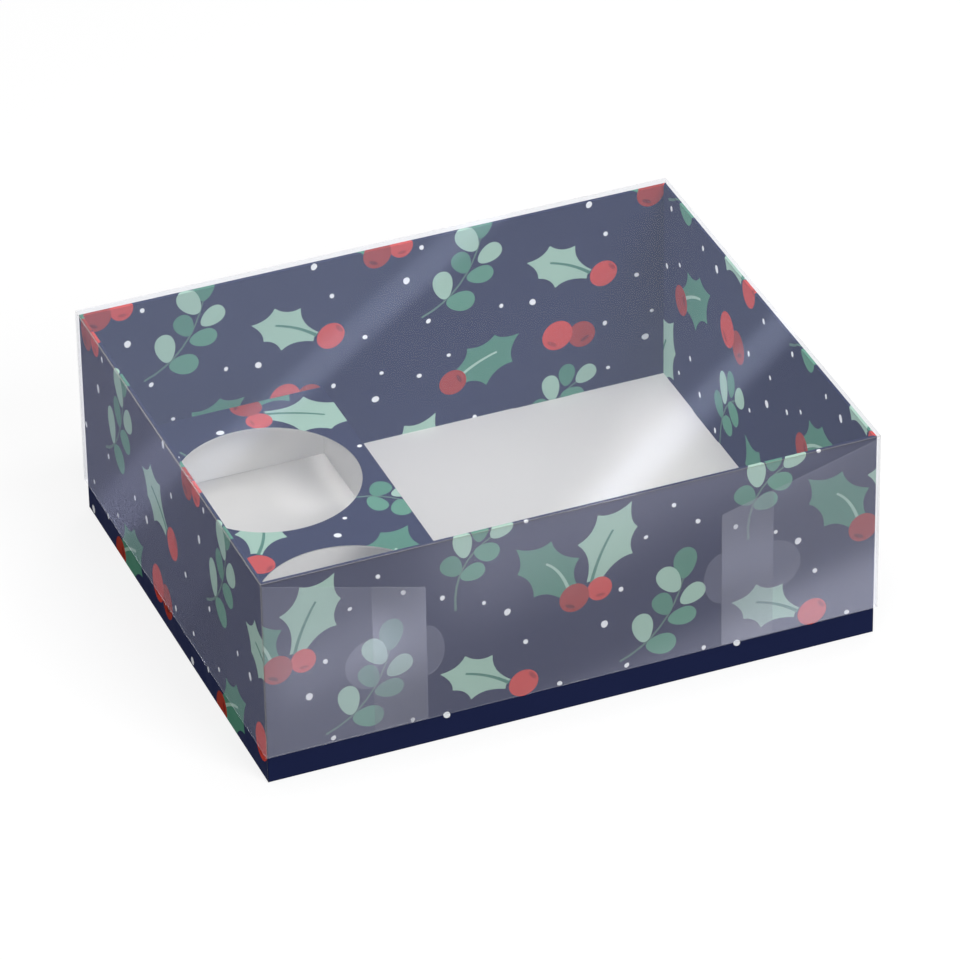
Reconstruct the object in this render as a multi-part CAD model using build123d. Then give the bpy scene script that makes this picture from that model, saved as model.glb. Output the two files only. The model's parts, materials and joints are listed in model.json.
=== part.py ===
from build123d import *
import os

# Printed folding-card gift box with a clear film lid, all sizes in millimetres.
# The origin is on the ground under the middle of the box. +X is the long side towards
# the right, -Y is the front and +Z is up.
# Three folded blanks make the box: a card tray whose double walls roll over at the rim,
# a card platform with two round wells, and a lift-off film lid with locked corners.
# Each blank is cut at its creases, so that every panel is a piece of its own.

# Card tray, measured over its outer walls
tray_length = 240
tray_width = 194
tray_height = 87

# Card and film, and how far a fold is rounded, as a share of the sheet's thickness
card_thickness = 0.45
film_thickness = 0.4
fold_radius_share = 0.8

# A rolled wall is an outer panel, a hidden corner tab and an inner panel
rolled_wall_layers = 3
corner_tab_length = 34
corner_tab_taper = 7

# Locking tabs under each inner wall, in notches cut along the floor's creases
lock_tab_width = 24
lock_notch_clearance = 0.3
lock_tab_place_share = 0.28

# Platform at the left with two round wells
platform_reach = 96
platform_height = 31.2
platform_side_clearance = 0.3
platform_seat_gap = 0.3
well_diameter = 71
well_edge_margin = 6.5
well_bridge = 15.6
leg_hinge_gap = 0.1
leg_end_clearance = 0.35

# Film lid
lid_side_clearance = 0.5
lid_rim_gap = 0.8
bare_band_height = 12
flap_length = 62
flap_top_drop_at_fold = 1.3
flap_top_drop_at_end = 18.5
lock_strip_width = 20.5
lock_lobe_height = 21.5
lock_lobe_centre_height = 41.5
lock_inner_lobe_reach = 11
lock_outer_lobe_reach = 7

# Places that follow from the sizes above
half_length = tray_length / 2
half_width = tray_width / 2
rolled_wall_thickness = rolled_wall_layers * card_thickness
inner_half_length = half_length - rolled_wall_thickness
inner_half_width = half_width - rolled_wall_thickness
card_fold_radius = fold_radius_share * card_thickness
film_fold_radius = fold_radius_share * film_thickness

lid_inner_half_length = half_length + lid_side_clearance
lid_half_length = lid_inner_half_length + film_thickness
flap_face = half_width + lid_side_clearance + film_thickness
front_panel_face = flap_face + film_thickness
lid_half_width = front_panel_face + film_thickness
lid_underside = tray_height + lid_rim_gap

platform_left = -inner_half_length + platform_side_clearance
platform_right = -half_length + platform_reach
platform_half_width = inner_half_width - platform_side_clearance
platform_underside = platform_height - card_thickness
leg_bottom = card_thickness + platform_seat_gap
well_x = platform_right - well_edge_margin - well_diameter / 2
well_y = (well_diameter + well_bridge) / 2

os.makedirs("parts", exist_ok=True)


def block(x_span, y_span, z_span):
    """A straight-sided panel between pairs of coordinates."""
    size = [high - low for low, high in (x_span, y_span, z_span)]
    middle = [(high + low) / 2 for low, high in (x_span, y_span, z_span)]
    return Pos(*middle) * Box(*size)


def span(half):
    return (-half, half)


def save(solid, node):
    solid.label = node
    export_step(solid, f"parts/{node}.step")


def save_pair(solid, node, other, plane):
    """One piece, and its mirror image on the opposite side."""
    save(solid, node)
    save(mirror(solid, about=plane), other)


def upright_face(points, depth_y):
    """A face drawn in X and Z, standing at one Y, that extrudes towards the front."""
    plane = Plane(origin=(0, depth_y, 0), x_dir=(1, 0, 0), z_dir=(0, -1, 0))
    return plane * make_face(Polyline(points, close=True))


# Tray floor, notched along its four creases for the locking tabs
def tab_places(wall_length):
    return [side * lock_tab_place_share * wall_length for side in (-1, 1)]


def tab_span(centre):
    return (centre - lock_tab_width / 2, centre + lock_tab_width / 2)


def widened(low_high, extra):
    return (low_high[0] - extra, low_high[1] + extra)


def tray_floor():
    edge_x = half_length - card_thickness
    edge_y = half_width - card_thickness
    floor = block(span(edge_x), span(edge_y), (0, card_thickness))
    notch_x = inner_half_length - lock_notch_clearance
    notch_y = inner_half_width - lock_notch_clearance
    for place in tab_places(tray_length):
        along = widened(tab_span(place), lock_notch_clearance)
        floor -= block(along, (notch_y, edge_y), (0, card_thickness))
        floor -= block(along, (-edge_y, -notch_y), (0, card_thickness))
    for place in tab_places(tray_width):
        along = widened(tab_span(place), lock_notch_clearance)
        floor -= block((notch_x, edge_x), along, (0, card_thickness))
        floor -= block((-edge_x, -notch_x), along, (0, card_thickness))
    return floor


# Outer walls: front and back run the full length, left and right stand between them
def front_outer_wall():
    wall = block(
        span(half_length),
        (-half_width, -half_width + card_thickness),
        (0, tray_height - card_thickness),
    )
    bottom_crease = wall.edges().filter_by(Axis.X).group_by(Axis.Z)[0].sort_by(Axis.Y)[:1]
    corner_creases = wall.edges().filter_by(Axis.Z).group_by(Axis.Y)[0]
    return fillet(bottom_crease + corner_creases, card_fold_radius)


def left_outer_wall():
    wall = block(
        (-half_length, -half_length + card_thickness),
        span(half_width - card_thickness),
        (0, tray_height - card_thickness),
    )
    bottom_crease = wall.edges().filter_by(Axis.Y).group_by(Axis.Z)[0].sort_by(Axis.X)[:1]
    return fillet(bottom_crease, card_fold_radius)


# Rims: the narrow strip between the two creases at the top of a rolled wall
def rim(outer_half, outer_reach):
    """Rim of the wall at -Y, with ends cut at 45 degrees where it meets its neighbours."""
    inner_half = outer_half - rolled_wall_thickness
    inner_reach = outer_reach - rolled_wall_thickness
    outline = [
        (-outer_half, -outer_reach),
        (outer_half, -outer_reach),
        (inner_half, -inner_reach),
        (-inner_half, -inner_reach),
    ]
    plane = Plane.XY.offset(tray_height - card_thickness)
    strip = extrude(plane * make_face(Polyline(outline, close=True)), card_thickness)
    rolled_folds = strip.edges().filter_by(Axis.X).group_by(Axis.Z)[-1]
    return fillet(rolled_folds, card_fold_radius)


# Inner walls: the panel that hangs from the rim, and its locking tabs through the floor
def inner_wall(inner_face, panel_half, places):
    """Inner panel of the wall at -Y."""
    layer = (-inner_face - card_thickness, -inner_face)
    wall = block(span(panel_half), layer, (card_thickness, tray_height - card_thickness))
    for place in places:
        wall += block(tab_span(place), layer, (0, card_thickness))
    return wall


# Corner tabs, hinged on the front and back walls and held inside the left and right walls
def corner_tab():
    near = -half_width + card_thickness
    far = near + corner_tab_length
    low = card_thickness
    high = tray_height - card_thickness
    outline = [
        (near, low),
        (far, low + corner_tab_taper),
        (far, high - corner_tab_taper),
        (near, high),
    ]
    plane = Plane(origin=(-half_length + card_thickness, 0, 0), x_dir=(0, 1, 0), z_dir=(1, 0, 0))
    return extrude(plane * make_face(Polyline(outline, close=True)), card_thickness)


# Platform: a top with two wells on four folded legs, two of which hinge freely
def platform_top():
    top = block(
        (platform_left, platform_right),
        span(platform_half_width),
        (platform_underside, platform_height),
    )
    top = fillet(top.faces().sort_by(Axis.Z)[-1].edges(), card_fold_radius)
    for side in (-1, 1):
        centre = Pos(well_x, side * well_y, platform_height - card_thickness / 2)
        top -= centre * Cylinder(well_diameter / 2, card_thickness)
    return top


def front_leg():
    return block(
        (platform_left, platform_right),
        (-platform_half_width, -platform_half_width + card_thickness),
        (leg_bottom, platform_underside),
    )


def side_leg(centre_x):
    """A leg that swings on a crease along Y, with a half-round knuckle at its top."""
    half_run = platform_half_width - card_thickness - leg_end_clearance
    radius = card_thickness / 2
    axis_z = platform_underside - leg_hinge_gap - radius
    panel = block(
        (centre_x - radius, centre_x + radius),
        span(half_run),
        (leg_bottom, axis_z),
    )
    knuckle = Pos(centre_x, 0, axis_z) * Rot(90, 0, 0) * Cylinder(radius, half_run * 2)
    return panel + knuckle


# Lid: a top panel, four walls, four corner flaps and the lock on each flap's free end
def lid_top():
    top = block(
        span(lid_half_length),
        span(lid_half_width),
        (lid_underside, lid_underside + film_thickness),
    )
    return fillet(top.faces().sort_by(Axis.Z)[-1].edges(), film_fold_radius)


def lid_front_wall():
    wall = block(
        span(lid_half_length),
        (-lid_half_width, -front_panel_face),
        (bare_band_height, lid_underside),
    )
    corner_creases = wall.edges().filter_by(Axis.Z).group_by(Axis.Y)[0]
    return fillet(corner_creases, film_fold_radius)


def lid_left_wall():
    return block(
        (-lid_half_length, -lid_inner_half_length),
        span(front_panel_face),
        (bare_band_height, lid_underside),
    )


def flap_top_at(reach):
    """Height of a flap's sloping top edge at one distance from the tray's side."""
    drop = flap_top_drop_at_end - flap_top_drop_at_fold
    return lid_underside - flap_top_drop_at_fold - drop * reach / flap_length


def corner_flap():
    fold_x = -lid_inner_half_length
    end_x = -half_length + flap_length
    outline = [
        (fold_x, bare_band_height),
        (end_x, bare_band_height),
        (end_x, flap_top_at(flap_length)),
        (fold_x, flap_top_at(0)),
    ]
    return extrude(upright_face(outline, -flap_face), film_thickness)


def corner_lock():
    strip_reach = flap_length - lock_strip_width
    inner_x = -half_length + strip_reach
    outer_x = -half_length + flap_length
    outline = [
        (inner_x, bare_band_height),
        (outer_x, bare_band_height),
        (outer_x, flap_top_at(flap_length)),
        (inner_x, flap_top_at(strip_reach)),
    ]
    layer_y = -flap_face + film_thickness
    lock = extrude(upright_face(outline, layer_y), film_thickness)
    plane = Plane(origin=(0, layer_y, 0), x_dir=(1, 0, 0), z_dir=(0, -1, 0))
    for lobe_x, lobe_reach in ((inner_x, lock_inner_lobe_reach), (outer_x, lock_outer_lobe_reach)):
        lobe = Pos(lobe_x, lock_lobe_centre_height) * Ellipse(lobe_reach, lock_lobe_height / 2)
        lock += extrude(plane * lobe, film_thickness)
    return lock


def build_tray():
    save(tray_floor(), "tray_floor")
    save_pair(front_outer_wall(), "tray_front_outer_wall", "tray_back_outer_wall", Plane.XZ)
    save_pair(left_outer_wall(), "tray_left_outer_wall", "tray_right_outer_wall", Plane.YZ)
    save_pair(rim(half_length, half_width), "tray_front_rim", "tray_back_rim", Plane.XZ)
    quarter_turn = Rot(0, 0, -90)
    left_rim = quarter_turn * rim(half_width, half_length)
    save_pair(left_rim, "tray_left_rim", "tray_right_rim", Plane.YZ)
    front_inner = inner_wall(inner_half_width, inner_half_length, tab_places(tray_length))
    save_pair(front_inner, "tray_front_inner_wall", "tray_back_inner_wall", Plane.XZ)
    side_panel_half = inner_half_width + card_thickness
    side_inner = inner_wall(inner_half_length, side_panel_half, tab_places(tray_width))
    left_inner = quarter_turn * side_inner
    save_pair(left_inner, "tray_left_inner_wall", "tray_right_inner_wall", Plane.YZ)
    tab = corner_tab()
    save_pair(tab, "tray_front_left_corner_tab", "tray_back_left_corner_tab", Plane.XZ)
    right_tab = mirror(tab, about=Plane.YZ)
    save_pair(right_tab, "tray_front_right_corner_tab", "tray_back_right_corner_tab", Plane.XZ)


def build_platform():
    save(platform_top(), "insert_top")
    save_pair(front_leg(), "insert_front_leg", "insert_back_leg", Plane.XZ)
    half_sheet = card_thickness / 2
    save(side_leg(platform_left + half_sheet), "insert_left_leg")
    save(side_leg(platform_right - half_sheet), "insert_right_leg")


def build_lid():
    save(lid_top(), "lid_top")
    save_pair(lid_front_wall(), "lid_front_wall", "lid_back_wall", Plane.XZ)
    save_pair(lid_left_wall(), "lid_left_wall", "lid_right_wall", Plane.YZ)
    for piece, kind in ((corner_flap(), "corner_flap"), (corner_lock(), "corner_lock")):
        save_pair(piece, f"lid_front_left_{kind}", f"lid_back_left_{kind}", Plane.XZ)
        right = mirror(piece, about=Plane.YZ)
        save_pair(right, f"lid_front_right_{kind}", f"lid_back_right_{kind}", Plane.XZ)


build_tray()
build_platform()
build_lid()
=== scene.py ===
import json
import math

import bmesh
import bpy
from mathutils import Matrix, Vector
from mathutils.geometry import delaunay_2d_cdt


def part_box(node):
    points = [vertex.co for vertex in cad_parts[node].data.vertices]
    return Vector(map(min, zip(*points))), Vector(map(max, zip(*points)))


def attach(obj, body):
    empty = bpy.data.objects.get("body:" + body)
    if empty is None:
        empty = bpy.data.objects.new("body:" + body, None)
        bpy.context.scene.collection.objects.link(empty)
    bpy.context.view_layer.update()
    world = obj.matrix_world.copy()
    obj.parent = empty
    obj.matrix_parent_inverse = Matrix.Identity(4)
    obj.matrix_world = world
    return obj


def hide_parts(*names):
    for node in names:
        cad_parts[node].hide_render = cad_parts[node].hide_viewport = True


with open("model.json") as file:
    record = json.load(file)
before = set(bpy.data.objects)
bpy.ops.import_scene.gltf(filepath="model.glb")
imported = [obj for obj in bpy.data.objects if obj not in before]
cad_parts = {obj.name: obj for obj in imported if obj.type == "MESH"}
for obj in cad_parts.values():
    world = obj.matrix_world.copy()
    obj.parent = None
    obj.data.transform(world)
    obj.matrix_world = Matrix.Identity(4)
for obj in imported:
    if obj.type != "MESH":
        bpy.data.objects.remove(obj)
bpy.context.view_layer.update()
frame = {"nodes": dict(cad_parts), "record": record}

# Flat shapes are drawn in millimetres, and become metres when a mesh is made
MM = 0.001


def box_mm(node):
    """Lowest and highest corner of a node, in millimetres."""
    low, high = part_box(node)
    return low / MM, high / MM


def add_object(name, data):
    thing = bpy.data.objects.new(name, data)
    bpy.context.scene.collection.objects.link(thing)
    return thing


# Sizes read from the frame
rim_low, rim_high = box_mm("tray_front_rim")
half_length = rim_high.x
half_width = -rim_low.y
tray_height = rim_high.z
roll = rim_high.y - rim_low.y
card = rim_high.z - rim_low.z
lid_low, lid_high = box_mm("lid_top")
lid_half_length = lid_high.x
lid_half_width = lid_high.y
lid_underside = lid_low.z
film = lid_high.z - lid_low.z
lid_bottom = box_mm("lid_front_wall")[0].z
top_low, top_high = box_mm("insert_top")

# Folds are rounded by this share of the sheet's thickness, in this many facets
fold_radius_share = 0.8
fold_facets = 4
card_fold = fold_radius_share * card
card_quarter = card_fold * math.pi / 2
film_quarter = film * math.pi / 2

# Locking tabs under the inner walls and their notches in the floor
lock_tab_width = 24.0
lock_tab_place_share = 0.28
notch_clearance = 0.3

# Corner flaps and locks of the lid
flap_drop_at_fold = 1.3
flap_drop_at_end = 18.5
lock_strip_width = 20.5
lobe_height = 21.5
lobe_centre_height = 41.5
film_gap = 0.04

# Dulled line along the lid's folds, which is broader on the back and right walls
crease_width = 0.55
far_crease_width = 1.9

# Steps round curved outlines
well_steps = 96
lobe_steps = 20
berry_steps = 28
berry_mark_steps = 14
leaf_steps = 24
flake_steps = 12

# Points of a print nearer than this, in millimetres, are one. So are corners of a mesh, in metres
print_tolerance = 1e-5
weld_distance = 1e-7


# Motifs of the repeated print, drawn flat with y upwards

def ring(centre, along, across, turn, steps, egg=0.0):
    """An oval, wider at one end by the share egg."""
    points = []
    for k in range(steps):
        angle = 2 * math.pi * k / steps
        x = along * math.cos(angle)
        y = across * math.sin(angle) * (1 + egg * math.cos(angle))
        points.append((
            centre[0] + x * math.cos(turn) - y * math.sin(turn),
            centre[1] + x * math.sin(turn) + y * math.cos(turn),
        ))
    return points


def bezier(start, middle, end, share):
    """A point on the curve that leaves start towards middle and arrives at end."""
    a, b, c = (1 - share) ** 2, 2 * share * (1 - share), share ** 2
    return (
        a * start[0] + b * middle[0] + c * end[0],
        a * start[1] + b * middle[1] + c * end[1],
    )


def stroke(start, middle, end, width_start, width_end, steps=8):
    """A tapering line along a curve, as a closed outline."""
    look_ahead_share = 0.01
    left, right = [], []
    for k in range(steps + 1):
        share = k / steps
        here = bezier(start, middle, end, share)
        near = bezier(start, middle, end, share + look_ahead_share)
        away = Vector((near[0] - here[0], near[1] - here[1])).normalized()
        half = (width_start + (width_end - width_start) * share) / 2
        left.append((here[0] - away.y * half, here[1] + away.x * half))
        right.append((here[0] + away.y * half, here[1] - away.x * half))
    return left + right[::-1]


# Points round a holly leaf as shares of its length: along it, and out to its wide side or back
slim_leaf_shares = (
    (0.04, -0.09), (0.02, 0.05), (0.40, 0.355), (0.765, 0.295), (1.0, 0.0), (0.745, -0.20), (0.445, -0.295),
)
broad_leaf_shares = (
    (0.05, -0.12), (0.04, 0.12), (0.27, 0.37), (0.725, 0.315), (1.0, 0.0), (0.735, -0.215), (0.34, -0.30),
)
holly_hollow_share = 0.15
holly_steps = 6

# Midribs and stems: where a rib starts and bends along its leaf, and the widths at both ends
rib_start_share = 0.03
rib_middle_share = 0.34
rib_widths = (1.35, 0.9)
stem_widths = (1.0, 0.6)

# How far the rounded motifs are from a circle, and how large a berry's dimple is
berry_squash_share = 0.95
berry_mark_shares = (0.14, 0.36)
sprig_leaf_egg_share = 0.2
flake_squash_share = 0.86
flake_egg_share = 0.08


def leaf_point(base, tip, wide, along, out):
    axis = (tip[0] - base[0], tip[1] - base[1])
    return (
        base[0] + axis[0] * along - axis[1] * out * wide,
        base[1] + axis[1] * along + axis[0] * out * wide,
    )


def holly_outline(base, tip, wide, shares):
    """A leaf with sharp points joined by hollow curves. wide is 1 or -1, its broader side."""
    points = []
    corners = [leaf_point(base, tip, wide, *share) for share in shares]
    heart = leaf_point(base, tip, wide, 0.5, 0.0)
    for k, corner in enumerate(corners):
        following = corners[(k + 1) % len(corners)]
        middle = ((corner[0] + following[0]) / 2, (corner[1] + following[1]) / 2)
        reach = math.dist(corner, following) * holly_hollow_share * 2
        towards = Vector((heart[0] - middle[0], heart[1] - middle[1])).normalized() * reach
        control = (middle[0] + towards.x, middle[1] + towards.y)
        points += [bezier(corner, control, following, s / holly_steps) for s in range(holly_steps)]
    return points


def holly(leaf_ink, rib_ink, base, tip, wide, shares, rib_bend, rib_end):
    """A leaf and its midrib. rib_end is along and out; rib_bend is how far out its middle is drawn."""
    rib = stroke(
        leaf_point(base, tip, wide, rib_start_share, 0.0),
        leaf_point(base, tip, wide, rib_middle_share, rib_bend),
        leaf_point(base, tip, wide, *rib_end),
        *rib_widths,
    )
    return [(leaf_ink, holly_outline(base, tip, wide, shares)), (rib_ink, rib)]


def berry(ink, mark_ink, centre, radius, mark_turn, mark_reach):
    """A berry with a darker dimple, at the share mark_reach of its radius."""
    mark_place = (
        centre[0] + mark_reach * radius * math.cos(mark_turn),
        centre[1] + mark_reach * radius * math.sin(mark_turn),
    )
    mark_along, mark_across = (radius * share for share in berry_mark_shares)
    return [
        (ink, ring(centre, radius, radius * berry_squash_share, mark_turn, berry_steps)),
        (mark_ink, ring(mark_place, mark_along, mark_across, mark_turn, berry_mark_steps)),
    ]


def sprig(stem, leaves):
    """A bent stem, and leaves as ink, middle, length, width and angle in degrees."""
    loops = [("stem", stroke(*stem, *stem_widths))]
    for ink, x, y, length, width, degrees in leaves:
        turn = math.radians(degrees)
        loops.append((ink, ring((x, y), length / 2, width / 2, turn, leaf_steps, sprig_leaf_egg_share)))
    return loops


# The print repeats at this step both ways. Its places are in millimetres from one coral berry.
print_step = 115.0

large_sprig = sprig(
    ((38.0, -1.2), (57.2, 5.6), (63.5, 29.5)),
    (
        ("deep_green", 63.9, 35.6, 13.6, 9.2, 84),
        ("mint", 57.8, 29.6, 13.2, 8.6, 121),
        ("mint", 66.9, 21.2, 11.0, 8.0, 32),
        ("deep_green", 55.2, 19.6, 10.6, 7.8, 114),
        ("mid_green", 62.8, 12.4, 11.4, 7.7, 2),
        ("mint", 47.2, 11.2, 13.0, 8.2, 98),
        ("mid_green", 54.4, 2.3, 12.2, 8.9, -8),
    ),
)
small_sprig = sprig(
    ((-26.0, -76.0), (-27.5, -55.0), (-10.5, -47.0)),
    (
        ("deep_green", -16.0, -43.5, 10.2, 6.9, 86),
        ("mint", -22.8, -48.0, 12.2, 7.3, 98),
        ("mint", -7.9, -45.0, 9.8, 7.4, 36),
        ("mid_green", -13.6, -53.6, 10.2, 7.8, -18),
        ("deep_green", -27.2, -56.6, 9.8, 7.9, 126),
        ("mid_green", -19.2, -61.0, 9.8, 7.2, 14),
    ),
)

# Flakes of snow: middle and radius. Each is turned by its own place.
snow = (
    (-55.5, 62.0, 1.0), (-66.5, 51.0, 0.9), (-46.0, 52.5, 1.1), (-31.0, 46.0, 1.1), (-15.0, 39.5, 0.9),
    (1.8, -44.5, 0.9), (-6.0, 33.0, 1.5), (38.6, 30.8, 1.1), (32.0, 17.2, 1.6), (1.0, 18.0, 1.1),
    (40.8, -3.5, 1.1), (-43.5, -4.2, 1.0), (-30.2, -5.8, 1.5), (14.2, -4.2, 1.1), (0.5, -23.3, 1.1),
    (20.7, -22.5, 0.9), (36.4, -27.8, 1.1), (49.0, -21.4, 0.9), (17.8, -34.0, 1.6),
)
flakes = [
    ("white", ring((x, y), radius, radius * flake_squash_share, 1.0 + x, flake_steps, flake_egg_share))
    for x, y, radius in snow
]
print_motifs = (
    flakes
    + large_sprig
    + small_sprig
    + holly("mint", "rib_green", (-5.0, 1.4), (-32.5, 12.8), -1, slim_leaf_shares, 0.095, (0.66, 0.05))
    + berry("coral", "coral_mark", (0.0, 0.0), 5.9, math.radians(36), 0.74)
    + holly("deep_green", "mint", (19.0, 34.5), (-2.2, 59.2), -1, broad_leaf_shares, 0.145, (0.55, 0.08))
    + holly("mint", "rib_green", (26.4, 36.0), (43.0, 68.2), 1, slim_leaf_shares, 0.075, (0.65, 0.05))
    + berry("coral", "coral_mark", (30.2, 33.5), 5.1, math.radians(-86), 0.56)
    + berry("wine", "wine_mark", (20.2, 32.1), 6.1, math.radians(-116), 0.62)
    + holly("deep_green", "mint", (52.0, -33.4), (78.8, -18.8), -1, broad_leaf_shares, -0.04, (0.63, 0.03))
    + berry("wine", "wine_mark", (50.5, -34.5), 5.8, math.radians(24), 0.5)
    + berry("wine", "wine_mark", (-9.5, -25.9), 6.0, math.radians(-60), 0.45)
    + berry("coral", "coral_mark", (-19.8, -24.0), 6.7, math.radians(-124), 0.63)
)

# Inks of the print, as linear red, green and blue
inks = {
    "ground": (0.0132, 0.0186, 0.0620),
    "mint": (0.335, 0.510, 0.415),
    "mid_green": (0.098, 0.275, 0.190),
    "deep_green": (0.072, 0.225, 0.155),
    "rib_green": (0.070, 0.205, 0.150),
    "stem": (0.085, 0.165, 0.135),
    "coral": (0.570, 0.055, 0.038),
    "coral_mark": (0.360, 0.030, 0.022),
    "wine": (0.335, 0.032, 0.018),
    "wine_mark": (0.170, 0.014, 0.010),
    "white": (0.850, 0.870, 0.900),
}


def printed_regions(low, high, origin, turn, stretch):
    """The motifs that reach a flat panel. origin is the coral berry's place on the panel,
    and stretch is how much larger than drawn the print is along each of the panel's ways."""
    cos, sin = math.cos(turn), math.sin(turn)
    regions = []
    span = math.dist(low, high) + math.dist(origin, low)
    count = int(span / print_step) + 2
    for ink, loop in print_motifs:
        for i in range(-count, count + 1):
            for j in range(-count, count + 1):
                shifted = [(x + i * print_step, y + j * print_step) for x, y in loop]
                placed = [
                    (
                        origin[0] + stretch[0] * (cos * x - sin * y),
                        origin[1] + stretch[1] * (sin * x + cos * y),
                    )
                    for x, y in shifted
                ]
                xs = [x for x, y in placed]
                ys = [y for x, y in placed]
                if max(xs) > low[0] and min(xs) < high[0] and max(ys) > low[1] and min(ys) < high[1]:
                    regions.append((ink, placed))
    return regions


# Flat panels cut into triangles, then folded into closed sheets

front_slot, back_slot, cut_slot, crease_slot, lobe_slot = range(5)


def facing_up(loop):
    area = sum(a[0] * b[1] - b[0] * a[1] for a, b in zip(loop, loop[1:] + loop[:1]))
    return loop if area > 0 else loop[::-1]


def flat_triangles(outline, holes, lines, regions):
    """The triangles of a flat panel, each with the topmost region that covers it."""
    points, faces, edges = [], [], []
    for loop in [outline, *holes, *(loop for tag, loop in regions)]:
        start = len(points)
        points += facing_up(loop)
        faces.append(list(range(start, len(points))))
    for a, b in lines:
        edges.append((len(points), len(points) + 1))
        points += [a, b]
    vectors = [Vector(point) for point in points]
    places, _, triangles, _, _, origins = delaunay_2d_cdt(vectors, edges, faces, 0, print_tolerance, True)
    kept = []
    for triangle, over in zip(triangles, origins):
        if 0 not in over or any(1 <= face <= len(holes) for face in over):
            continue
        top = max(over)
        tag = regions[top - 1 - len(holes)][0] if top > len(holes) else None
        kept.append((triangle, tag))
    return places, kept


def sheet_mesh(name, outline, front, back, holes=(), lines=(), regions=(), slots=(), tag_slots=None):
    """A closed sheet. front and back turn a flat place into a point on either face.
    The slots are the materials of the front, the back and the cut edges, then of the tags."""
    tag_slots = tag_slots or {}
    places, triangles = flat_triangles(outline, list(holes), lines, list(regions))
    mesh = bpy.data.meshes.new(name)
    used = sorted({index for triangle, tag in triangles for index in triangle})
    fronts = {index: k for k, index in enumerate(used)}
    count = len(used)
    points = [front(*places[index]) * MM for index in used]
    points += [back(*places[index]) * MM for index in used]
    faces, materials, tags, edges = [], [], [], []
    for (a, b, c), tag in triangles:
        faces.append([fronts[a], fronts[b], fronts[c]])
        materials.append(tag_slots.get(tag, front_slot))
        tags.append(tag)
        edges += [(a, b), (b, c), (c, a)]
    for (a, b, c), tag in triangles:
        faces.append([fronts[c] + count, fronts[b] + count, fronts[a] + count])
        materials.append(tag_slots.get(tag, back_slot))
        tags.append(tag)
    shared = set(edges)
    for a, b in edges:
        if (b, a) not in shared:
            faces.append([fronts[a], fronts[a] + count, fronts[b] + count, fronts[b]])
            materials.append(cut_slot)
            tags.append(None)
    mesh.from_pydata(points, [], faces)
    for material in slots:
        mesh.materials.append(material)
    mesh.polygons.foreach_set("material_index", materials)
    ink_layer = mesh.color_attributes.new("ink", "FLOAT_COLOR", "CORNER")
    for polygon in mesh.polygons:
        colour = inks.get(tags[polygon.index]) or inks["ground"]
        for corner in polygon.loop_indices:
            ink_layer.data[corner].color = (*colour, 1.0)
    weld = bmesh.new()
    weld.from_mesh(mesh)
    bmesh.ops.remove_doubles(weld, verts=weld.verts, dist=weld_distance)
    weld.to_mesh(mesh)
    weld.free()
    mesh.update()
    return add_object(name, mesh)


def stands_for(piece, node, body):
    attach(piece, body)
    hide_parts(node)


# Folding: where a point of a flat strip goes once the sheet is folded

def follow(distance, place, heading, legs):
    """The place reached along legs of (length, turn), bending evenly where turn isn't zero."""
    x, y = place
    for length, turn in legs:
        part = min(distance, length)
        if part <= 0:
            break
        if turn:
            rate = turn / length
            x += (math.sin(heading + rate * part) - math.sin(heading)) / rate
            y -= (math.cos(heading + rate * part) - math.cos(heading)) / rate
            heading += rate * part
        else:
            x += part * math.cos(heading)
            y += part * math.sin(heading)
        distance -= part
    return x, y


def end_fold(reach, half, radius):
    """Along and inset of a point near the rounded end of a panel."""
    over = abs(reach) - (half - radius)
    if over <= 0:
        return reach, 0.0
    angle = min(over / radius, math.pi / 2)
    along = half - radius + radius * math.sin(angle)
    return math.copysign(along, reach), radius * (1 - math.cos(angle))


def facet_places(start, radius):
    return [start + radius * math.pi / 2 * k / fold_facets for k in range(fold_facets + 1)]


def side_place(quarter_turns, reach):
    """A function from along, inset and height to a point, for one of the four sides: 0 is the
    front, 1 the right, 2 the back and 3 the left. Along runs to the right seen from outside."""
    angle = quarter_turns * math.pi / 2
    along = Vector((round(math.cos(angle)), round(math.sin(angle)), 0))
    inward = Vector((-along.y, along.x, 0))

    def place(u, inset, height):
        return along * u + inward * (inset - reach) + Vector((0, 0, height))

    return place


def rectangle(low, high):
    return [low, (high[0], low[1]), high, (low[0], high[1])]


def across(low, high, heights):
    return [((low, height), (high, height)) for height in heights]


def upright(low, high, places):
    return [((place, low), (place, high)) for place in places]


def tab_places(wall_length):
    return [side * lock_tab_place_share * wall_length for side in (-1, 1)]


def stepped_side(half, places, width, level, step_level):
    """Points along one side of a panel, with a rectangular step at each place."""
    points = [(-half, level)]
    for place in places:
        left, right = place - width / 2, place + width / 2
        points += [(left, level), (left, step_level), (right, step_level), (right, level)]
    points.append((half, level))
    return points


# Materials

def node_tree(name):
    material = bpy.data.materials.new(name)
    material.use_nodes = True
    tree = material.node_tree
    shader = next(node for node in tree.nodes if node.type == "BSDF_PRINCIPLED")
    return material, tree, shader


def add_node(tree, kind, **settings):
    node = tree.nodes.new(kind)
    for key, value in settings.items():
        setattr(node, key, value)
    return node


def noise(tree, scale, detail=2.0):
    """Noise in the piece's own places, with scale in features per metre."""
    coordinates = add_node(tree, "ShaderNodeTexCoord")
    texture = add_node(tree, "ShaderNodeTexNoise")
    texture.inputs["Scale"].default_value = scale
    texture.inputs["Detail"].default_value = detail
    tree.links.new(coordinates.outputs["Object"], texture.inputs["Vector"])
    return texture.outputs["Fac"]


# Range that most of Blender's noise falls in
noise_low, noise_high = 0.3, 0.7


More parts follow.
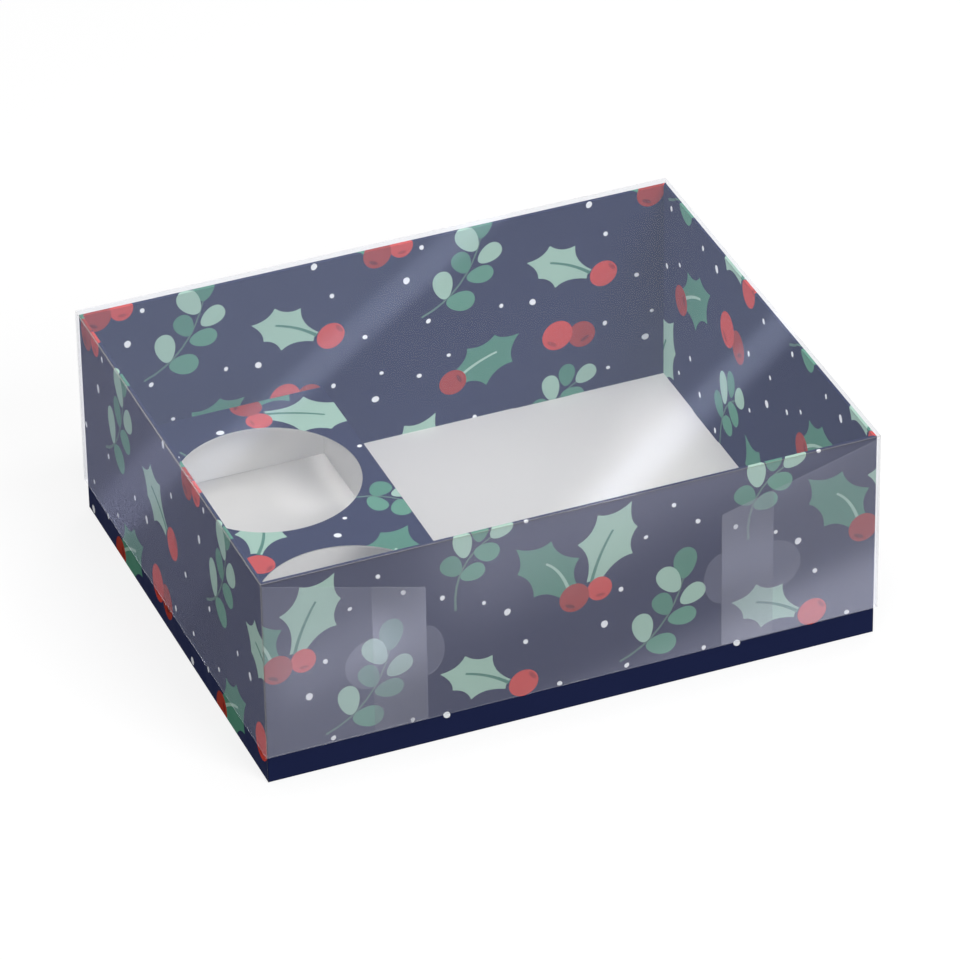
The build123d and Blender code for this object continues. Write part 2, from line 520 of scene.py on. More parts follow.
def spread(tree, value, low, high):
    """Maps noise from its usual range to low and high."""
    mapped = add_node(tree, "ShaderNodeMapRange")
    mapped.inputs["From Min"].default_value = noise_low
    mapped.inputs["From Max"].default_value = noise_high
    mapped.inputs["To Min"].default_value = low
    mapped.inputs["To Max"].default_value = high
    tree.links.new(value, mapped.inputs["Value"])
    return mapped.outputs["Result"]


def scaled(tree, colour, factor):
    """A colour times a number."""
    product = add_node(tree, "ShaderNodeVectorMath", operation="SCALE")
    tree.links.new(colour, product.inputs[0])
    tree.links.new(factor, product.inputs["Scale"])
    return product.outputs["Vector"]


def add_bump(tree, shader, height, strength, distance):
    bump = add_node(tree, "ShaderNodeBump")
    bump.inputs["Strength"].default_value = strength
    bump.inputs["Distance"].default_value = distance
    tree.links.new(height, bump.inputs["Height"])
    tree.links.new(bump.outputs["Normal"], shader.inputs["Normal"])


def paint(tree, shader, colour, roughness):
    tree.links.new(colour, shader.inputs["Base Color"])
    tree.links.new(roughness, shader.inputs["Roughness"])


def varied_colour(tree, colour, low, high, scale):
    """A fixed colour, lightened and darkened a little by noise."""
    source = add_node(tree, "ShaderNodeRGB")
    source.outputs[0].default_value = (*colour, 1.0)
    return scaled(tree, source.outputs[0], spread(tree, noise(tree, scale), low, high))


def print_material():
    """Printed face of the board, with next to no gloss. The density of its ink drifts a little."""
    material, tree, shader = node_tree("printed_board")
    ink = add_node(tree, "ShaderNodeAttribute", attribute_name="ink")
    drift = spread(tree, noise(tree, scale=45.0, detail=3.0), low=0.97, high=1.03)
    grain = spread(tree, noise(tree, scale=2600.0, detail=1.0), low=0.985, high=1.015)
    colour = scaled(tree, scaled(tree, ink.outputs["Color"], drift), grain)
    roughness = spread(tree, noise(tree, scale=160.0, detail=3.0), low=0.50, high=0.64)
    paint(tree, shader, colour, roughness)
    shader.inputs["Specular IOR Level"].default_value = 0.005
    add_bump(tree, shader, noise(tree, scale=900.0, detail=2.0), strength=0.05, distance=0.00001)
    return material


def reverse_material():
    """Uncoated pale reverse of the board, with faint fibres."""
    material, tree, shader = node_tree("board_reverse")
    colour = varied_colour(tree, reverse_colour, low=0.985, high=1.015, scale=700.0)
    roughness = spread(tree, noise(tree, scale=500.0, detail=4.0), low=0.70, high=0.86)
    paint(tree, shader, colour, roughness)
    shader.inputs["Specular IOR Level"].default_value = 0.25
    add_bump(tree, shader, noise(tree, scale=1200.0, detail=3.0), strength=0.08, distance=0.00002)
    return material


def edge_material():
    """Cut edge of the board, with its pale core in fine layers."""
    material, tree, shader = node_tree("board_cut_edge")
    colour = varied_colour(tree, edge_colour, low=0.93, high=1.07, scale=4000.0)
    roughness = spread(tree, noise(tree, scale=3000.0, detail=2.0), low=0.80, high=0.94)
    paint(tree, shader, colour, roughness)
    return material


def thickest_at(tree, height, reach, most, least):
    """A factor that is most at one height, and fades to least at reach above and below it."""
    coordinates = add_node(tree, "ShaderNodeTexCoord")
    parts = add_node(tree, "ShaderNodeSeparateXYZ")
    away = add_node(tree, "ShaderNodeMath", operation="SUBTRACT")
    distance = add_node(tree, "ShaderNodeMath", operation="ABSOLUTE")
    faded = add_node(tree, "ShaderNodeMapRange", interpolation_type="SMOOTHSTEP")
    away.inputs[1].default_value = height * MM
    faded.inputs["From Max"].default_value = reach * MM
    faded.inputs["To Min"].default_value = most
    faded.inputs["To Max"].default_value = least
    tree.links.new(coordinates.outputs["Object"], parts.inputs["Vector"])
    tree.links.new(parts.outputs["Z"], away.inputs[0])
    tree.links.new(away.outputs["Value"], distance.inputs[0])
    tree.links.new(distance.outputs["Value"], faded.inputs["Value"])
    return faded.outputs["Result"]


# Roughness of the film, and the factors between which wear varies it
film_roughness = 0.16
wear_low, wear_high = 0.9, 1.1

# A painted highlight on the locks, a band where their haze is brightest: height, reach, and the factors
# there and beyond
lock_painted_highlight = (48.0, 27.0, 1.15, 0.18)


def film_material(name, colour, alpha, roughness=film_roughness, painted_highlight=None):
    """Clear glossy film with a slight milky haze, partly a painted reflection, which a painted highlight
    makes brightest at one height.
    """
    material, tree, shader = node_tree(name)
    veil = varied_colour(tree, colour, low=0.985, high=1.015, scale=30.0)
    # A painted highlight: the haze is brightened in a band at one height and dimmed above and below it
    if painted_highlight:
        veil = scaled(tree, veil, thickest_at(tree, *painted_highlight))
    wear = noise(tree, scale=60.0, detail=2.0)
    worn = spread(tree, wear, low=roughness * wear_low, high=roughness * wear_high)
    paint(tree, shader, veil, worn)
    shader.inputs["IOR"].default_value = 1.52
    shader.inputs["Alpha"].default_value = alpha
    add_bump(tree, shader, noise(tree, scale=14.0, detail=1.0), strength=0.25, distance=0.0004)
    return material


# Colours of the board's pale side and its cut edge
reverse_colour = (0.650, 0.640, 0.618)
edge_colour = (0.62, 0.61, 0.58)

printed_board = print_material()
board_reverse = reverse_material()
board_edge = edge_material()
card_slots = (printed_board, board_reverse, board_edge)

# Haze of the film: of the top panel, of the front and back walls with their flaps and locks, of
# the left and right walls, of the creases and of the cut edges. On the top panel and the walls it is
# partly the film's own milky haze and partly a painted reflection of the studio. The one film is
# given a lighter or darker haze on each face, matching the reflection and light on that face.
top_haze_and_reflection = (0.34, 0.385, 0.52)
wall_haze_and_reflection = (0.68, 0.70, 0.86)
side_haze_and_reflection = (0.45, 0.48, 0.70)
crease_haze = (0.31, 0.30, 0.30)
cut_haze = (0.55, 0.56, 0.60)

# Copies of one film: their haze and alpha differ by face, as painted reflection and painted shade
top_film = film_material("top_film", top_haze_and_reflection, alpha=0.060)
wall_film = film_material("wall_film", wall_haze_and_reflection, alpha=0.068)
side_film = film_material("side_film", side_haze_and_reflection, alpha=0.060)
flap_film = film_material("flap_film", wall_haze_and_reflection, alpha=0.050)
lock_film = film_material("lock_film", wall_haze_and_reflection, alpha=0.105, painted_highlight=lock_painted_highlight)
lobe_film = film_material("lobe_film", wall_haze_and_reflection, alpha=0.055)
film_crease = film_material("film_crease", crease_haze, alpha=0.100, roughness=0.25)
film_cut = film_material("film_cut_edge", cut_haze, alpha=0.160, roughness=0.35)


# Card tray

# How the print lies on each wall: the coral berry's place (along the wall, and from its bottom
# fold), the turn, and the stretch each way that the photo shows
wall_prints = {
    "front": ((-20.2, 16.4), 0.0, (1.0, 1.0)),
    "right": ((15.1, 90.8), math.pi, (0.983, 1.17)),
    "back": ((20.0, 122.3), math.pi, (0.985, 0.985)),
    "left": ((1.0, 44.3), 0.0, (0.951, 1.223)),
}

rolled_path = (
    (card_quarter, -math.pi / 2),
    (tray_height - 2 * card_fold, 0),
    (card_quarter, -math.pi / 2),
    (roll - 2 * card_fold, 0),
    (card_quarter, -math.pi / 2),
    (tray_height, 0),
)
outer_end = card_quarter + tray_height - card - card_fold
rim_end = outer_end + 2 * (card - card_fold) + 2 * card_quarter + roll - 2 * card_fold
inner_end = rim_end + tray_height - 2 * card


def on_wall(distance):
    """Inset and height of a point of the rolled wall's printed face."""
    return follow(distance, (card_fold, 0.0), math.pi, rolled_path)


def outer_wall(side, quarter_turns, reach, half, wraps):
    """Outer panel of one wall. The front and back ones wrap round the corners."""
    place = side_place(quarter_turns, reach)
    limit = half - card_fold + card_quarter if wraps else half
    radius = card_fold if wraps else 0.0

    def front(u, w):
        inset, height = on_wall(w)
        along, end_inset = end_fold(u, half, radius) if wraps else (u, 0.0)
        return place(along, max(inset, end_inset), height)

    def back(u, w):
        along = end_fold(u, half, radius)[0] if wraps else u
        return place(along, card, on_wall(w)[1])

    lines = across(-limit, limit, facet_places(0, card_fold))
    if wraps:
        for end in (-1, 1):
            folds = [end * at for at in facet_places(half - card_fold, card_fold)]
            lines += upright(0, outer_end, folds)
    low, high = (-limit, 0.0), (limit, outer_end)
    return sheet_mesh(
        f"{side}_outer_panel", rectangle(low, high), front, back, lines=lines,
        regions=printed_regions(low, high, *wall_prints[side]), slots=card_slots,
    )


def rim_strip(side, quarter_turns, reach, half):
    """Rounded strip over the top of one wall, mitred at its ends."""
    place = side_place(quarter_turns, reach)
    first = outer_end + card - card_fold
    second = first + card_quarter + roll - 2 * card_fold
    rows = [outer_end, *facet_places(first, card_fold), *facet_places(second, card_fold), rim_end]
    ends = [(half - min(on_wall(row)[0], roll), row) for row in rows]
    outline = ends + [(-along, row) for along, row in reversed(ends)]

    def front(u, w):
        return place(u, *on_wall(w))

    def back(u, w):
        return place(u, on_wall(w)[0], tray_height - card)

    low, high = (-half, outer_end), (half, rim_end)
    return sheet_mesh(
        f"{side}_rim_strip", outline, front, back, lines=across(-half, half, rows[1:-1]),
        regions=printed_regions(low, high, *wall_prints[side]), slots=card_slots,
    )


def inner_wall(side, quarter_turns, reach, half, wall_length):
    """Inner panel of one wall, with the tabs that lock it into the floor."""
    place = side_place(quarter_turns, reach)
    steps = stepped_side(half, tab_places(wall_length), lock_tab_width, inner_end, inner_end + card)
    outline = [(-half, rim_end), (half, rim_end), *reversed(steps)]

    def front(u, w):
        return place(u, roll, on_wall(w)[1])

    def back(u, w):
        return place(u, roll - card, on_wall(w)[1])

    low, high = (-half, rim_end), (half, inner_end + card)
    return sheet_mesh(
        f"{side}_inner_panel", outline, front, back,
        regions=printed_regions(low, high, *wall_prints[side]), slots=card_slots,
    )


def half_run(node, quarter_turns):
    """Half of a node's length along its side of the box."""
    low, high = box_mm(node)
    return (high.x - low.x) / 2 if quarter_turns % 2 == 0 else (high.y - low.y) / 2


def make_tray():
    for quarter_turns, side in enumerate(("front", "right", "back", "left")):
        long_side = quarter_turns % 2 == 0
        reach = half_width if long_side else half_length
        wall_length = 2 * (half_length if long_side else half_width)
        nodes = [f"tray_{side}_{kind}" for kind in ("outer_wall", "rim", "inner_wall")]
        halves = [half_run(node, quarter_turns) for node in nodes]
        pieces = (
            outer_wall(side, quarter_turns, reach, halves[0], long_side),
            rim_strip(side, quarter_turns, reach, halves[1]),
            inner_wall(side, quarter_turns, reach, halves[2], wall_length),
        )
        for piece, node in zip(pieces, nodes):
            stands_for(piece, node, "tray")


def make_floor():
    """Floor of the tray: pale above, printed below, notched along its four folds."""
    low, high = box_mm("tray_floor")
    outline = []
    for quarter_turns in range(4):
        long_side = quarter_turns % 2 == 0
        half, edge = (high.x, high.y) if long_side else (high.y, high.x)
        wall_length = 2 * (half_length if long_side else half_width)
        inner = (half_width if long_side else half_length) - roll - notch_clearance
        width = lock_tab_width + 2 * notch_clearance
        angle = quarter_turns * math.pi / 2
        cos, sin = round(math.cos(angle)), round(math.sin(angle))
        for u, v in stepped_side(half, tab_places(wall_length), width, -edge, -inner)[:-1]:
            outline.append((u * cos - v * sin, u * sin + v * cos))
    # The print on the underside carries on from the front wall, so it is drawn seen from below
    seen_from_below = [(x, -half_width - y) for x, y in outline]
    print_low, print_high = (-half_length, -2 * half_width), (half_length, 0.0)
    piece = sheet_mesh(
        "floor_panel", seen_from_below,
        lambda u, w: Vector((u, -half_width - w, low.z)),
        lambda u, w: Vector((u, -half_width - w, high.z)),
        regions=printed_regions(print_low, print_high, *wall_prints["front"]),
        slots=card_slots,
    )
    stands_for(piece, "tray_floor", "tray")


# Platform

platform_print = ((-89.0, 114.6), -math.pi / 2, (1.014, 1.069))


def platform_regions(low, high):
    return printed_regions(low, high, *platform_print)


def make_platform():
    low, high = (top_low.x, top_low.y), (top_high.x, top_high.y)
    wells = []
    for mount in frame["record"]["mounts"]:
        if mount["kind"] == "bore":
            centre = [value / MM for value in mount["pos_m"][:2]]
            radius = mount["dims"]["r_mm"]
            wells.append(ring(centre, radius, radius, 0.0, well_steps))
    centre_x, half = (high[0] + low[0]) / 2, (high[0] - low[0]) / 2
    reach_x = half - card_fold + card_quarter
    reach_y = high[1] - card_fold + card_quarter

    def front(u, w):
        x, drop_x = end_fold(u - centre_x, half, card_fold)
        y, drop_y = end_fold(w, high[1], card_fold)
        return Vector((centre_x + x, y, top_high.z - max(drop_x, drop_y)))

    def back(u, w):
        x, y, _ = front(u, w)
        return Vector((x, y, top_low.z))

    flat_low, flat_high = (centre_x - reach_x, -reach_y), (centre_x + reach_x, reach_y)
    lines = []
    for end in (-1, 1):
        folds_x = [centre_x + end * at for at in facet_places(half - card_fold, card_fold)]
        folds_y = [end * at for at in facet_places(high[1] - card_fold, card_fold)]
        lines += upright(-reach_y, reach_y, folds_x[:-1])
        lines += across(centre_x - reach_x, centre_x + reach_x, folds_y[:-1])
    piece = sheet_mesh(
        "platform_panel", rectangle(flat_low, flat_high), front, back, holes=wells, lines=lines,
        regions=platform_regions(flat_low, flat_high), slots=card_slots,
    )
    stands_for(piece, "insert_top", "insert")
    make_long_legs()
    make_side_legs()


def make_long_legs():
    """Front and back legs. Their print carries on from the platform's edges."""
    for side, name in ((-1, "front"), (1, "back")):
        node = f"insert_{name}_leg"
        low, high = box_mm(node)
        face_y = side * top_high.y
        drop = high.z - low.z
        near, far = side * top_high.y, side * (top_high.y + drop)
        flat_low, flat_high = (low.x, min(near, far)), (high.x, max(near, far))

        def front(u, w, face_y=face_y, high=high):
            return Vector((u, face_y, high.z - (abs(w) - top_high.y)))

        def back(u, w, face_y=face_y, high=high, side=side):
            return Vector((u, face_y - side * card, high.z - (abs(w) - top_high.y)))

        piece = sheet_mesh(
            f"platform_{name}_leg", rectangle(flat_low, flat_high), front, back,
            regions=platform_regions(flat_low, flat_high), slots=card_slots,
        )
        stands_for(piece, node, "insert")


def make_side_legs():
    """Left and right legs, rounded over where they swing on their folds."""
    radius = card / 2
    quarter = radius * math.pi / 2
    for side, name in ((-1, "left"), (1, "right")):
        node = f"insert_{name}_leg"
        low, high = box_mm(node)
        middle = (low.x + high.x) / 2
        drop = high.z - radius - low.z
        near = top_high.x if side > 0 else top_low.x
        path = ((quarter, -math.pi / 2), (drop, 0))

        def around(w, face, near=near, side=side, middle=middle, high=high, path=path):
            out, height = follow(abs(w - near), (0.0, high.z), 0.0, path)
            return middle + side * face * out, height

        def front(w, v, around=around):
            x, height = around(w, 1)
            return Vector((x, v, height))

        def back(w, v, around=around):
            x, height = around(w, -1)
            return Vector((x, v, height))

        far = near + side * (quarter + drop)
        flat_low, flat_high = (min(near, far), low.y), (max(near, far), high.y)
        lines = upright(low.y, high.y, [near + side * at for at in facet_places(0, radius)[1:]])
        piece = sheet_mesh(
            f"platform_{name}_leg", rectangle(flat_low, flat_high), front, back, lines=lines,
            regions=platform_regions(flat_low, flat_high), slots=card_slots,
        )
        stands_for(piece, node, node)


# Film lid

film_tags = {None: front_slot, "clear": front_slot, "crease": crease_slot, "lobe": lobe_slot}


def film_slots(face):
    """Materials in the order of the slots: front, back, cut edges, creases and lobes."""
    return (face, face, film_cut, film_crease, lobe_film)


def film_piece(name, node, face, outline, front, back, lines=(), regions=()):
    """One piece of the lid. face is the film of its clear part."""
    piece = sheet_mesh(
        name, outline, front, back, lines=lines, regions=regions,
        slots=film_slots(face), tag_slots=film_tags,
    )
    stands_for(piece, node, "lid")


def make_lid_top():
    """Top panel, rounded down over all four edges, with a dulled line along each fold."""
    def front(u, w):
        x, drop_x = end_fold(u, lid_half_length, film)
        y, drop_y = end_fold(w, lid_half_width, film)
        return Vector((x, y, lid_high.z - max(drop_x, drop_y)))

    def back(u, w):
        x, y, _ = front(u, w)
        return Vector((x, y, lid_low.z))

    reach_x = lid_half_length - film + film_quarter
    reach_y = lid_half_width - film + film_quarter
    lines = []
    for end in (-1, 1):
        folds_x = [end * at for at in facet_places(lid_half_length - film, film)[:-1]]
        folds_y = [end * at for at in facet_places(lid_half_width - film, film)[:-1]]
        lines += upright(-reach_y, reach_y, folds_x) + across(-reach_x, reach_x, folds_y)
    outer = rectangle((-reach_x, -reach_y), (reach_x, reach_y))
    inner_x, inner_y = lid_half_length - crease_width, lid_half_width - crease_width
    inner = rectangle((-inner_x, -inner_y), (inner_x, inner_y))
    film_piece(
        "lid_top_panel", "lid_top", top_film, outer, front, back, lines=lines,
        regions=[("crease", outer), ("clear", inner)],
    )


def make_lid_wall(side, quarter_turns):
    """One wall of the lid. The front and back ones wrap round the corners."""
    wraps = quarter_turns % 2 == 0
    node = f"lid_{side}_wall"
    half = half_run(node, quarter_turns)
    reach = lid_half_width if wraps else lid_half_length
    place = side_place(quarter_turns, reach)
    limit = half - film + film_quarter if wraps else half
    top = lid_underside - film_gap

    def front(u, w):
        along, inset = end_fold(u, half, film) if wraps else (u, 0.0)
        return place(along, inset, w)

    def back(u, w):
        along = end_fold(u, half, film)[0] if wraps else u
        return place(along, film, w)

    lines = []
    if wraps:
        for end in (-1, 1):
            folds = [end * at for at in facet_places(half - film, film)[:-1]]
            lines += upright(lid_bottom, top, folds)
    outer = rectangle((-limit, lid_bottom), (limit, top))
    fold_side = crease_width if wraps else 0.0
    fold_top = far_crease_width if side in ("right", "back") else crease_width
    inner = rectangle((-half + fold_side, lid_bottom), (half - fold_side, top - fold_top))
    film_piece(
        f"lid_{side}_panel", node, wall_film if wraps else side_film, outer, front, back, lines=lines,
        regions=[("crease", outer), ("clear", inner)],
    )


def half_lobe(near, far):
    """A half ellipse on the line near, reaching out to far, from its lower to its upper end."""
    points = []
    for k in range(lobe_steps + 1):
        angle = math.pi * (k / lobe_steps - 0.5)
        points.append((
            near + (far - near) * math.cos(angle),
            lobe_centre_height + lobe_height / 2 * math.sin(angle),
        ))
    return points


def make_corner(corner, quarter_turns, end):
    """The flap and the lock behind one end of the lid's front or back wall."""
    flap_low, flap_high = box_mm(f"lid_{corner}_corner_flap")
    lock_low, lock_high = box_mm(f"lid_{corner}_corner_lock")
    free, fold = sorted(abs(value) for value in (flap_low.x, flap_high.x))
    inner_reach, outer_reach = sorted(abs(value) for value in (lock_low.x, lock_high.x))
    strip = free + lock_strip_width
    place = side_place(quarter_turns, lid_half_width)

    def flap_top(reach):
        share = (fold - reach) / (fold - free)
        return lid_underside - flap_drop_at_fold - share * (flap_drop_at_end - flap_drop_at_fold)

    flap = [(free, lid_bottom), (fold, lid_bottom), (fold, flap_top(fold)), (free, flap_top(free))]
    crease = rectangle((fold - crease_width, lid_bottom), (fold, flap_top(fold)))
    lock = [
        (strip, lid_bottom), (free, lid_bottom), *half_lobe(free, inner_reach), (free, flap_top(free)),
        (strip, flap_top(strip)), *reversed(half_lobe(strip, outer_reach)),
    ]
    add_film_layer(
        f"{corner}_flap", f"lid_{corner}_corner_flap", flap_film, flap, place, end, film,
        [("crease", crease)],
    )
    strip_part = rectangle((free, lid_bottom), (strip, flap_top(free)))
    upper_part = [(free, flap_top(free)), (strip, flap_top(free)), (strip, flap_top(strip))]
    add_film_layer(
        f"{corner}_lock", f"lid_{corner}_corner_lock", lock_film, lock, place, end, 2 * film,
        [("lobe", lock), ("clear", strip_part), ("clear", upper_part)],
    )


def add_film_layer(name, node, face, outline, place, end, inset, regions):
    """A flat layer of film behind a wall, drawn for the right-hand end and mirrored for the left."""
    film_piece(
        name, node, face, [(end * u, w) for u, w in outline],
        lambda u, w: place(u, inset + film_gap, w),
        lambda u, w: place(u, inset + film - film_gap, w),
        regions=[(tag, [(end * u, w) for u, w in loop]) for tag, loop in regions],
    )


def make_lid():
    make_lid_top()
    for quarter_turns, side in enumerate(("front", "right", "back", "left")):
        make_lid_wall(side, quarter_turns)
    for corner, quarter_turns, end in (
        ("front_left", 0, -1), ("front_right", 0, 1), ("back_right", 2, -1), ("back_left", 2, 1),
    ):
        make_corner(corner, quarter_turns, end)


def dress_cad_nodes():
    """The corner tabs keep their own solids, in the board's pale reverse."""
    for name, node in frame["nodes"].items():
        if name.endswith("corner_tab"):
            node.data.materials.clear()
            node.data.materials.append(board_reverse)


# Studio: floor, world, lamps and camera

def seen_directly(tree):
    """1 for rays from the camera and for what gloss or clear film shows, 0 for light."""
    path = add_node(tree, "ShaderNodeLightPath")
    total = path.outputs["Is Camera Ray"]
    for name in ("Is Glossy Ray", "Is Transmission Ray"):
        largest = add_node(tree, "ShaderNodeMath", operation="MAXIMUM")
        tree.links.new(total, largest.inputs[0])
        tree.links.new(path.outputs[name], largest.inputs[1])
        total = largest.outputs["Value"]
    return total


def make_world(horizon, zenith):
    """White to the eye and in gloss. Its light grows with the square of the height in the sky."""
    square = 2.0
    world = bpy.data.worlds.new("studio")
    bpy.context.scene.world = world
    world.use_nodes = True
    tree = world.node_tree
    background = next(node for node in tree.nodes if node.type == "BACKGROUND")
    background.inputs["Color"].default_value = (1.0, 1.0, 1.0, 1.0)
    direction = add_node(tree, "ShaderNodeTexCoord")
    parts = add_node(tree, "ShaderNodeSeparateXYZ")
    tree.links.new(direction.outputs["Generated"], parts.inputs["Vector"])
    height = add_node(tree, "ShaderNodeMath", operation="POWER")
    height.inputs[1].default_value = square
    tree.links.new(parts.outputs["Z"], height.inputs[0])
    light = add_node(tree, "ShaderNodeMapRange")
    light.inputs["To Min"].default_value = horizon
    light.inputs["To Max"].default_value = zenith
    tree.links.new(height.outputs["Value"], light.inputs["Value"])
    strength = add_node(tree, "ShaderNodeMapRange")
    strength.inputs["To Max"].default_value = 1.0
    tree.links.new(seen_directly(tree), strength.inputs["Value"])
    tree.links.new(light.outputs["Result"], strength.inputs["To Min"])
    tree.links.new(strength.outputs["Result"], background.inputs["Strength"])


def make_floor_stage(share, shade, bounce):
    """A plain pale floor. share is how much of what the camera sees is the floor lit in its own
    shade, which keeps the shadow. bounce is its shade for the light that it throws back."""
    half, drop = 4.0, 0.0002
    corners = rectangle((-half, -half), (half, half))
    mesh = bpy.data.meshes.new("stage_floor")
    mesh.from_pydata([(x, y, 0) for x, y in corners], [], [(0, 1, 2, 3)])
    stage = add_object("stage_floor", mesh)
    stage.location.z = -drop
    material = bpy.data.materials.new("stage_floor")
    material.use_nodes = True
    tree = material.node_tree
    tree.nodes.clear()
    seen = seen_directly(tree)
    output = add_node(tree, "ShaderNodeOutputMaterial")
    colour = add_node(tree, "ShaderNodeMapRange")
    colour.inputs["To Min"].default_value = bounce
    colour.inputs["To Max"].default_value = shade
    lit = add_node(tree, "ShaderNodeBsdfDiffuse")
    plain = add_node(tree, "ShaderNodeEmission")
    mix = add_node(tree, "ShaderNodeMixShader")
    factor = add_node(tree, "ShaderNodeMath", operation="MULTIPLY")
    factor.inputs[1].default_value = 1.0 - share
    tree.links.new(seen, colour.inputs["Value"])
    tree.links.new(colour.outputs["Result"], lit.inputs["Color"])
    tree.links.new(seen, factor.inputs[0])
    tree.links.new(factor.outputs["Value"], mix.inputs[0])
    tree.links.new(lit.outputs[0], mix.inputs[1])
    tree.links.new(plain.outputs[0], mix.inputs[2])
    tree.links.new(mix.outputs[0], output.inputs["Surface"])
    mesh.materials.append(material)


def aim(thing, place, target):
    thing.location = place
    thing.rotation_mode = "QUATERNION"
    thing.rotation_quaternion = (Vector(target) - Vector(place)).to_track_quat("-Z", "Y")


def add_lamp(name, width, height, power):
    """A rectangular lamp that the camera doesn't see."""
    lamp = bpy.data.lights.new(name, "AREA")
    lamp.shape = "RECTANGLE"
    lamp.size, lamp.size_y = width, height
    lamp.energy = power
    thing = add_object(name, lamp)
    thing.visible_camera = False
    return thing


def add_softbox(name, place, target, width, height, power):
    lamp = add_lamp(name, width, height, power)
    aim(lamp, place, target)
    return lamp


def gather(name, pieces):
    """A collection of pieces that a lamp can be linked to."""
    gathered = bpy.data.collections.new(name)
    for piece in pieces:
        gathered.objects.link(bpy.data.objects[piece])
    return gathered


def light_only(lamp, receivers):
    """Lets a lamp reach these pieces alone, past everything else and unseen in gloss."""
    lamp.visible_glossy = False
    lamp.light_linking.receiver_collection = receivers
    lamp.light_linking.blocker_collection = receivers


# Streaks of light on the film, on the tray's floor and on the leg behind the wells: the side they
# fall on, the streak's middle there in millimetres, its angle in degrees, its length and width in
# millimetres, how many degrees it spreads, and how bright it makes a white surface
streaks = (
    ("top", (-28.0, 43.5), 37.5, 250.0, 12.0, 6.0, 1.95),
    ("top", (76.2, -49.6), 37.5, 250.0, 13.0, 6.0, 2.0),
    ("top", (-85.0, 106.2), 37.5, 320.0, 162.0, 6.0, 1.05),
    ("top", (-10.0, -27.9), 37.5, 380.0, 135.0, 6.0, 0.62),
    ("front", (25.0, 94.5), 15.0, 165.0, 50.0, 26.0, 0.85),
    ("front", (95.0, -1.0), 13.0, 220.0, 62.0, 14.0, 0.9),
    ("front", (-95.0, 50.0), 12.0, 70.0, 80.0, 24.0, 0.17),
    ("front", (-93.0, 49.0), 18.0, 46.0, 22.0, 10.0, 0.32),
    ("left", (-36.2, 45.2), 45.0, 160.0, 20.0, 6.0, 1.15),
    ("left", (-80.0, 60.0), 45.0, 200.0, 100.0, 30.0, 0.55),
    ("left", (-40.8, 70.3), 52.0, 182.0, 150.0, 6.0, 0.22),
    ("left", (0.0, 50.0), 0.0, 225.0, 100.0, 6.0, 0.53),
    ("floor", (91.5, 46.0), 45.0, 150.0, 22.0, 18.0, 0.36),
    ("floor", (125.0, 30.0), 90.0, 160.0, 60.0, 40.0, 0.38),
    ("floor", (-39.5, 80.0), 90.0, 44.0, 21.0, 9.5, 0.34),
    ("floor", (-27.0, 75.0), 90.0, 54.0, 8.0, 3.8, 0.46),
    ("leg", (-26.0, 15.0), 0.0, 42.0, 60.0, 14.3, 0.25),
)
streak_distance = 120.0

# Softboxes: name, place, what they point at, width, height and power in watts
box_middle = (0.0, 0.0, 0.04)
softboxes = (
    ("key", (0.6, -1.8, 1.35), box_middle, 1.1, 1.1, 38.0),
    ("inside", (0.0, -0.045, 0.42), (0.0, 0.06, 0.03), 0.24, 0.08, 0.5),
    ("left_high", (-0.5, -1.0, 2.3), box_middle, 0.8, 0.8, 15.0),
    ("back_low", (1.3, 1.5, 0.27), box_middle, 0.9, 0.5, 18.0),
)

# Square softboxes that reach only the named pieces: name, pieces, place, what they point at,
# size and power
fills = (
    ("well_fill", ("platform_right_leg",), (-0.50, -0.22, 0.45), (-0.05, 0.06, 0.02), 0.3, 1.9),
    ("right_wall_fill", ("right_inner_panel",), (-0.55, 0.0, 0.45), (0.12, 0.0, 0.045), 0.3, 2.8),
    ("left_wall_fill", ("left_outer_panel",), (-0.90, -0.30, 0.35), (-0.12, 0.0, 0.045), 0.4, 2.4),
)


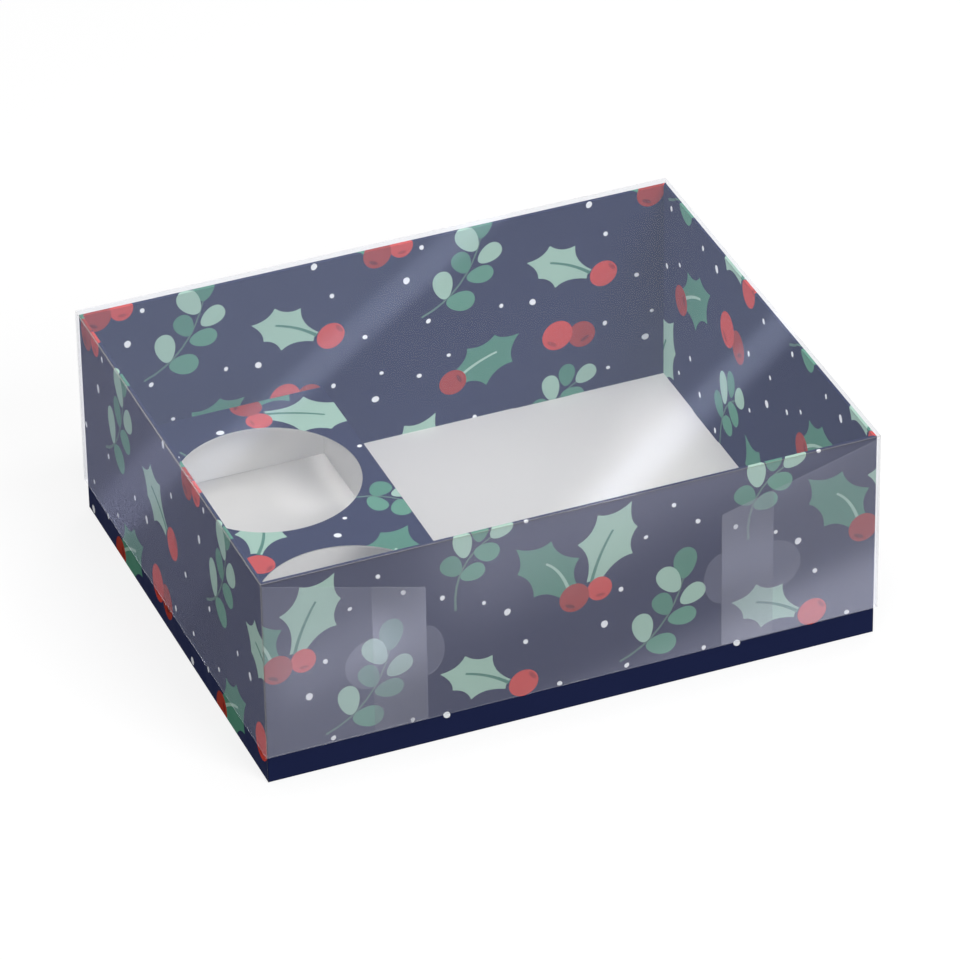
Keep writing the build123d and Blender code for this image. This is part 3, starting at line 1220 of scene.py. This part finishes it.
def add_streaks():
    """Narrow beams set square to a face, so that each lights a straight band of it."""
    film_pieces = [
        thing.name for thing in bpy.context.scene.objects
        if thing.type == "MESH" and film_cut.name in thing.data.materials
    ]
    film_only = gather("film_only", film_pieces)
    floor_only = gather("floor_only", ["floor_panel"])
    leg_only = gather("leg_only", ["platform_back_leg"])
    right, away, up = Vector((1, 0, 0)), Vector((0, 1, 0)), Vector((0, 0, 1))
    sides = {
        "top": (right, away, up * lid_high.z, film_only),
        "front": (right, up, away * -lid_half_width, film_only),
        "left": (-away, up, right * -lid_half_length, film_only),
        "floor": (right, away, up * card, floor_only),
        "leg": (right, up, away * (top_high.y - card), leg_only),
    }
    for number, (side, middle, degrees, length, width, opening, strength) in enumerate(streaks, 1):
        first, second, start, receivers = sides[side]
        outward = first.cross(second)
        angle = math.radians(degrees)
        along = first * math.cos(angle) + second * math.sin(angle)
        power = strength * math.pi * length * width * MM * MM
        lamp = add_lamp(f"streak_{number}", length * MM, width * MM, power)
        lamp.data.spread = math.radians(opening)
        place = start + first * middle[0] + second * middle[1] + outward * streak_distance
        turned = Matrix((along, outward.cross(along), outward)).transposed().to_4x4()
        lamp.matrix_world = Matrix.Translation(place * MM) @ turned
        light_only(lamp, receivers)


def add_fill(name, pieces, place, target, size, power):
    """A soft light that reaches only the named pieces."""
    light_only(add_softbox(name, place, target, size, size, power), gather(name, pieces))


def make_camera():
    """The camera of the photograph, found from the corners of the box."""
    azimuth, elevation, roll_angle = (math.radians(value) for value in (-21.556, 33.683, -0.996))
    distance = 2.5833
    target = Vector((0.0, 0.0, 0.0435))
    back = Vector((
        math.sin(azimuth) * math.cos(elevation),
        -math.cos(azimuth) * math.cos(elevation),
        math.sin(elevation),
    ))
    level = Vector((0, 0, 1)).cross(back).normalized()
    rise = back.cross(level)
    right = level * math.cos(roll_angle) + rise * math.sin(roll_angle)
    up = rise * math.cos(roll_angle) - level * math.sin(roll_angle)
    data = bpy.data.cameras.new("camera")
    data.sensor_width = 36.0
    data.lens = 259.5
    data.shift_x = 0.0066
    data.shift_y = -0.0080
    data.clip_end = 50.0
    camera = add_object("camera", data)
    turned = Matrix((right, up, back)).transposed().to_4x4()
    camera.matrix_world = Matrix.Translation(target + back * distance) @ turned
    bpy.context.scene.camera = camera


make_tray()
make_floor()
make_platform()
make_lid()
dress_cad_nodes()
make_world(horizon=0.05, zenith=1.0)
make_floor_stage(share=0.2, shade=0.9, bounce=0.12)
for softbox in softboxes:
    add_softbox(*softbox)
add_streaks()
for fill in fills:
    add_fill(*fill)
make_camera()
bpy.context.scene.view_settings.view_transform = "Standard"
bpy.context.scene.cycles.transparent_max_bounces = 32
